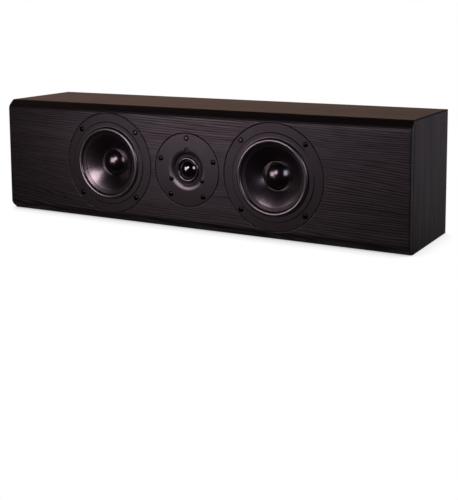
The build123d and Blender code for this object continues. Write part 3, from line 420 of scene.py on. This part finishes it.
# One finish for each material slot of the record
finishes = {
    # Ash veneer, its grain lying along the cabinet: fine dull lines in a soft grey sheen
    "black_ash_veneer": black_ash("sliced_black_ash", ALONG_X),
    # Wood fibre pressed with resin: a matt, even brown
    "raw_mdf": moulded(
        "pressed_mdf", "6b5740", "8a7356", roughness=0.85, grit_mm=0.6, depth_mm=0.05, ior=1.45
    ),
    # Wool and waste fibre pressed to a pad: grey, matt and a little furry
    "felt": moulded(
        "pressed_felt", "4a4a4c", "68686a", roughness=0.95, grit_mm=0.5, depth_mm=0.2, ior=1.45
    ),
    # ABS from a mould with a fine spark-eroded grain: black, and grey only where it faces a lamp
    "basket_plastic": moulded(
        "moulded_abs_basket", "060505", "080707", roughness=0.45, grit_mm=0.5, depth_mm=0.01, ior=1.5, sheen=0.17
    ),
    # The same ABS, with the flare polished: a bright crescent where it turns up to the lamps
    "faceplate_plastic": moulded(
        "moulded_abs_faceplate", "060505", "080707", roughness=0.42, grit_mm=0.5, depth_mm=0.01, ior=1.5,
        sheen=0.12, flare=True,
    ),
    # Vinyl sheet, formed warm over a smooth die: black with clear, soft-edged glints
    "cap_vinyl": moulded(
        "formed_vinyl", "030203", "050405", roughness=0.19, grit_mm=0.8, depth_mm=0.002, ior=1.5
    ),
    # Cotton stiffened with resin: coarse, yellow-brown and dull
    "spider_cloth": woven("woven_cotton", "5a4a2a", "8f7a4a", roughness=0.85, thread_mm=0.8, depth_mm=0.1),
    # Drawn and enamelled wire: a warm copper gloss
    "coil_copper": plated("drawn_copper_wire", "8a4a2a", "b87040", roughness=0.35, cloud_mm=2.0),
    # Turned or stamped steel from a zinc bath: pale grey with soft clouds
    "zinc_plated_steel": plated("bright_zinc_on_steel", "8d9092", "b9bcbd", roughness=0.32, cloud_mm=6.0),
    # Ferrite powder, pressed and fired: charcoal grey and stony
    "ferrite": moulded(
        "fired_ferrite", "1a1a1b", "242425", roughness=0.7, grit_mm=0.8, depth_mm=0.02, ior=1.9
    ),
    # Closed-cell foam, die-cut from sheet: black, without any gloss
    "gasket_foam": moulded(
        "die_cut_foam", "0d0d0d", "151515", roughness=0.95, grit_mm=0.8, depth_mm=0.15, ior=1.45
    ),
    # Steel screws from a blackening bath: dark, with small sharp sparkles
    "black_screw_steel": plated("blackened_steel", "1b191a", "262425", roughness=0.13, cloud_mm=1.5),
    # Stamped brass: yellow and half bright
    "tab_brass": plated("stamped_brass", "a8863c", "c9a85c", roughness=0.3, cloud_mm=2.0),
    # Fine cloth, doped: black with sharp glints. Its threads of about 0.3 mm are drawn at 0.8 mm, so that they show
    "dome_cloth": woven(
        "doped_dome_cloth", "040305", "070608", roughness=0.5, thread_mm=0.8, depth_mm=0.001, sheen=0.12, dope=True
    ),
    # Glass cloth and epoxy, pressed and lacquered green
    "circuit_board": moulded(
        "pressed_epoxy_board", "0c3a22", "125030", roughness=0.4, grit_mm=1.0, depth_mm=0.02, ior=1.5
    ),
    # Polyester film, wound and wrapped in yellow tape: smooth and half glossy
    "film_capacitor": moulded(
        "wound_polyester_film", "a8801c", "c2982c", roughness=0.35, grit_mm=1.0, depth_mm=0.02, ior=1.5
    ),
    # Ceramic, pressed and fired without a glaze: off-white and chalky
    "resistor_ceramic": moulded(
        "fired_ceramic", "c6c2b6", "dcd8cc", roughness=0.7, grit_mm=0.6, depth_mm=0.03, ior=1.6
    ),
    # Natural nylon from a mould: milky and waxy
    "support_nylon": moulded(
        "moulded_nylon", "cfcbc0", "e0dcd2", roughness=0.5, grit_mm=0.8, depth_mm=0.02, ior=1.53
    ),
    # PVC drawn over the wire: an even, soft black
    "wire_pvc": moulded(
        "extruded_pvc", "101010", "181818", roughness=0.45, grit_mm=0.8, depth_mm=0.01, ior=1.52
    ),
    # ABS from a plainer mould than the basket's: a blacker, slightly glossier plastic
    "cup_plastic": moulded(
        "moulded_abs_cup", "111011", "171516", roughness=0.4, grit_mm=0.6, depth_mm=0.02, ior=1.5
    ),
    # Turned brass, gold plated: warm and mirror-like
    "gilt_brass": plated("gold_on_brass", "c79a45", "e0b866", roughness=0.2, cloud_mm=2.0),
    # Acrylic from a smooth mould: deep colour under a clear gloss
    "red_knob_plastic": moulded(
        "moulded_red_acrylic", "7c0f10", "961416", roughness=0.3, grit_mm=0.8, depth_mm=0.01, ior=1.49
    ),
    "black_knob_plastic": moulded(
        "moulded_black_acrylic", "0c0c0c", "131313", roughness=0.3, grit_mm=0.8, depth_mm=0.01, ior=1.49
    ),
}

# Nodes with a finish of their own: upright grain on the ends, a knot in the front, and patterns about a driver's axis
upright_ash = black_ash("sliced_black_ash_upright", ALONG_Z)
own_finishes = {
    "front_baffle": black_ash("sliced_black_ash_front", ALONG_X, knot=True),
    "left_panel": upright_ash,
    "right_panel": upright_ash,
}
for side in SIDES:
    own_finishes[f"{side}_cone"] = drawn_cone(f"drawn_polypropylene_{side}", side)
    own_finishes[f"{side}_surround"] = pressed_rubber(f"pressed_butyl_rubber_{side}", side)

for name, node in nodes.items():
    holder = node.material_slots[0]
    slot = holder.material.name.split(".")[0]
    holder.material = own_finishes[name] if name in own_finishes else finishes[slot]


# Pieces turned about a driver's axis: the cones, and the surrounds and spiders that stretch from basket to cone

LATHE_STEPS = 160
ARC_STEPS = 20
PLEAT_STEPS = 8
SHARP_CORNER = math.radians(35)


def lathe(name, section, middle, finish):
    """Closed ring turned from a section of (radius, depth behind the middle) points about a driver's axis."""
    count = len(section)
    points = []
    faces = []
    for step in range(LATHE_STEPS):
        angle = 2 * math.pi * step / LATHE_STEPS
        for radius, depth in section:
            points.append(Vector(middle) + Vector((radius * math.cos(angle), depth, radius * math.sin(angle))))
        start = step * count
        after = (step + 1) % LATHE_STEPS * count
        for i in range(count):
            j = (i + 1) % count
            faces.append((start + i, start + j, after + j, after + i))
    mesh = bpy.data.meshes.new(name)
    mesh.from_pydata(points, [], faces)
    mesh.polygons.foreach_set("use_smooth", [True] * len(faces))
    mesh.set_sharp_from_angle(angle=SHARP_CORNER)
    mesh.materials.append(finish)
    piece = bpy.data.objects.new(name, mesh)
    bpy.context.collection.objects.link(piece)
    return piece


def stretch_between(piece):
    """Bakes the piece's placement into its mesh."""
    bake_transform(piece)


def arc(start, crest, end):
    """Points on the circle through three (radius, depth) points, from start to end."""
    half_chord = (end[0] - start[0]) / 2
    height = crest[1] - start[1]
    radius = (half_chord ** 2 + height ** 2) / (2 * abs(height))
    lean = math.copysign(1, height)
    middle = (crest[0], crest[1] - lean * radius)
    sweep = math.asin(min(abs(half_chord) / radius, 1.0))
    if abs(height) > radius:
        sweep = math.pi - sweep
    way = math.copysign(1, half_chord)
    points = []
    for step in range(ARC_STEPS + 1):
        angle = sweep * (2 * step / ARC_STEPS - 1)
        points.append((middle[0] + way * radius * math.sin(angle), middle[1] + lean * radius * math.cos(angle)))
    return points


def surround(side):
    """Half roll of rubber, with a bevelled landing on the basket's flange and a glue land on the cone."""
    middle = (DRIVER_X[side], FRONT_Y, DRIVER_Z)
    crest = (ROLL_INNER + ROLL_OUTER) / 2
    section = [(GLUE_EDGE, GLUE_FALL - RUBBER)]
    section += arc((ROLL_INNER, -RUBBER), (crest, -RUBBER - ROLL_HEIGHT), (ROLL_OUTER, -RUBBER))
    section += [(LANDING_EDGE - LANDING_BEVEL, -RUBBER), (LANDING_EDGE, 0.0)]
    section += arc((ROLL_OUTER - RUBBER, 0.0), (crest, -ROLL_HEIGHT), (ROLL_INNER + RUBBER, 0.0))
    section += [(GLUE_EDGE, GLUE_FALL)]
    piece = lathe(f"{side}_rubber_surround", section, middle, own_finishes[f"{side}_surround"])
    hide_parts(f"{side}_surround")
    stretch_between(piece)


def cone(side):
    """Cone of the drawn sheet, from the coil's former to the lip under the surround. Its flank is half a millimetre
    straighter than the solid's single arc, as the lamps' reflections in the photograph ask for."""
    middle = (DRIVER_X[side], FRONT_Y, DRIVER_Z)
    reach = GLUE_EDGE - CAP_RADIUS
    straight = reach * math.tan(RIM_SLOPE)
    bend = CAP_DEPTH - GLUE_FALL - straight
    front = [(NECK_RADIUS, NECK_DEPTH)]
    for step in range(ARC_STEPS + 1):
        inward = 1 - step / ARC_STEPS
        front.append((GLUE_EDGE - reach * inward, GLUE_FALL + straight * inward + bend * inward ** 2))
    front.append((ROLL_INNER + RUBBER, 0.0))
    section = front + [(radius, depth + CONE_SHEET) for radius, depth in reversed(front)]
    piece = lathe(f"{side}_pressed_cone", section, middle, own_finishes[f"{side}_cone"])
    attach(piece, f"{side}_cone_assembly")
    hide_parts(f"{side}_cone")


def spider(side):
    """Pleated centring disc of stiffened cloth, glued to the coil's former and to its shelf in the basket."""
    low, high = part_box(f"{side}_spider")
    middle = (DRIVER_X[side], (low.y + high.y) / 2, DRIVER_Z)
    edge = (high.x - low.x) / 2
    wave = (high.y - low.y - SPIDER_CLOTH) / 2
    inner = NECK_RADIUS + SPIDER_FLAT
    outer = edge - SPIDER_SHELF - SPIDER_FLAT
    line = [(NECK_RADIUS, 0.0)]
    for step in range(SPIDER_PLEATS * PLEAT_STEPS + 1):
        along = step / (SPIDER_PLEATS * PLEAT_STEPS)
        line.append((inner + along * (outer - inner), wave * math.sin(along * SPIDER_PLEATS * math.pi)))
    line.append((edge, 0.0))
    section = [(radius, depth - SPIDER_CLOTH / 2) for radius, depth in line]
    section += [(radius, depth + SPIDER_CLOTH / 2) for radius, depth in reversed(line)]
    piece = lathe(f"{side}_cloth_spider", section, middle, finishes["spider_cloth"])
    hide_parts(f"{side}_spider")
    stretch_between(piece)


for side in SIDES:
    surround(side)
    cone(side)
    spider(side)


# Studio: a white floor and background, three lamps in front, one beside and two behind, and a warm glow from the back

LAMP_TINT = "ffe1f1"
RIGHT_TINT = "f4e4ff"
SIDE_TINT = "f6e2f6"

# Floor, in metres: the soft shadow at the object's foot, and the glow that its gloss sees on the floor behind it
FLOOR_SIZE = 12.0
FLOOR_SHADE = "363230"
FOOT_SHADOW = "c8c6c6"
FOOT_REACH = 0.05
FLOOR_GLOW = "f4e6f0"
FLOOR_GLOW_STRENGTH = 0.45
FLOOR_GLOW_START = -0.1
FLOOR_GLOW_FULL = 0.6
FLOOR_GLOW_RISE = 0.4

# Glow on the back wall: how far it leans to the left, in degrees, how wide it fades, and its strength against the room
BACK_GLOW = "ffd2bf"
BACK_GLOW_LEAN = 50.0
BACK_GLOW_EDGE = 0.4
BACK_GLOW_MIDDLE = 1.05
BACK_GLOW_STRENGTH = 0.7
ROOM_STRENGTH = 0.0015


def floor():
    """White sweep. The camera sees it white with a faint shadow at the foot; the object's gloss sees a dim one."""
    material, tree, place = new_finish("white_sweep")
    foot = add(tree, "AmbientOcclusion", {"Distance": FOOT_REACH}, samples=16)
    tone = two_tones(tree, foot.outputs["AO"], 0.15, 0.75, FOOT_SHADOW, "ffffff")
    seen = add(tree, "Emission", {"Color": tone, "Strength": 1.0})
    depth = add(tree, "SeparateXYZ", {"Vector": place}).outputs["Y"]
    glowing = {"Value": depth, "From Min": FLOOR_GLOW_START, "From Max": FLOOR_GLOW_FULL}
    behind = add(tree, "MapRange", glowing).outputs["Result"]
    rising = add(tree, "Math", {0: behind, 1: FLOOR_GLOW_RISE}, operation="POWER").outputs[0]
    dim = add(tree, "BsdfDiffuse", {"Color": linear(FLOOR_SHADE)})
    lit = add(tree, "Emission", {"Color": linear(FLOOR_GLOW), "Strength": FLOOR_GLOW_STRENGTH})
    unseen = add(tree, "MixShader", {0: rising, 1: dim.outputs["BSDF"], 2: lit.outputs["Emission"]})
    ray = add(tree, "LightPath").outputs["Is Camera Ray"]
    both = add(tree, "MixShader", {0: ray, 1: unseen.outputs["Shader"], 2: seen.outputs["Emission"]})
    add(tree, "OutputMaterial", {"Surface": both.outputs["Shader"]})
    half = FLOOR_SIZE / 2
    corners = [(-half, -half, 0), (half, -half, 0), (half, half, 0), (-half, half, 0)]
    mesh = bpy.data.meshes.new("white_sweep")
    mesh.from_pydata(corners, [], [(0, 1, 2, 3)])
    mesh.materials.append(material)
    sweep = bpy.data.objects.new("white_sweep", mesh)
    bpy.context.collection.objects.link(sweep)


def studio_world():
    """White to the camera. To the object, a dim room in front and a warm glow behind that gives the top its sheen."""
    world = bpy.data.worlds.new("studio")
    bpy.context.scene.world = world
    world.use_nodes = True
    tree = world.node_tree
    tree.nodes.clear()
    lean = math.radians(BACK_GLOW_LEAN)
    heading = {0: add(tree, "TexCoord").outputs["Generated"], 1: (-math.sin(lean), math.cos(lean), 0)}
    facing = add(tree, "VectorMath", heading, operation="DOT_PRODUCT").outputs["Value"]
    fading = {"Value": facing, "From Min": BACK_GLOW_EDGE, "From Max": BACK_GLOW_MIDDLE}
    levels = {"To Min": ROOM_STRENGTH, "To Max": BACK_GLOW_STRENGTH}
    glow = add(tree, "MapRange", fading | levels, interpolation_type="SMOOTHSTEP").outputs["Result"]
    room = add(tree, "Background", {"Color": linear(BACK_GLOW), "Strength": glow})
    white = add(tree, "Background", {"Color": linear("ffffff"), "Strength": 1.0})
    ray = add(tree, "LightPath").outputs["Is Camera Ray"]
    both = add(tree, "MixShader", {0: ray, 1: room.outputs["Background"], 2: white.outputs["Background"]})
    add(tree, "OutputWorld", {"Surface": both.outputs["Shader"]})


def lamp(name, target, heading, rise, distance, size, watts, tint=LAMP_TINT):
    """Softbox at a distance from its target, hidden from the camera. Its heading counts to the right from straight
    ahead of the front, and its rise from level, both in degrees."""
    across = math.radians(heading)
    above = math.radians(rise)
    away = Vector((math.sin(across) * math.cos(above), -math.cos(across) * math.cos(above), math.sin(above)))
    light = bpy.data.lights.new(name, "AREA")
    light.shape = "RECTANGLE"
    light.size, light.size_y = size
    light.energy = watts
    light.color = linear(tint)[:3]
    piece = bpy.data.objects.new(name, light)
    piece.location = Vector(target) + distance * away
    piece.rotation_euler = away.to_track_quat("Z", "Y").to_euler()
    piece.visible_camera = False
    bpy.context.collection.objects.link(piece)


floor()
studio_world()

side_low, side_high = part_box("right_panel")
front_middle = (0, FRONT_Y, DRIVER_Z)
side_middle = (side_high.x, (side_low.y + side_high.y) / 2, DRIVER_Z)
back_middle = (0, side_high.y, DRIVER_Z)
lamp("key_lamp", front_middle, heading=-8.4, rise=16.0, distance=1.0, size=(0.28, 0.28), watts=4.2)
lamp("tall_softbox", front_middle, heading=-28.2, rise=5.2, distance=0.7, size=(0.31, 0.26), watts=3.1)
lamp("right_lamp", front_middle, heading=49.0, rise=14.5, distance=1.0, size=(0.3, 0.4), watts=4.0, tint=RIGHT_TINT)
lamp("side_lamp", side_middle, heading=155.0, rise=3.0, distance=1.45, size=(0.3, 0.3), watts=0.2, tint=SIDE_TINT)
# The back lamps stand lower than the top and within the ends, so that they light the back alone
lamp("back_left_lamp", back_middle, heading=-146.0, rise=0.0, distance=0.45, size=(0.1, 0.12), watts=2.0)
lamp("back_right_lamp", back_middle, heading=146.0, rise=0.0, distance=0.45, size=(0.1, 0.12), watts=2.0)

bpy.context.scene.view_settings.view_transform = "Standard"
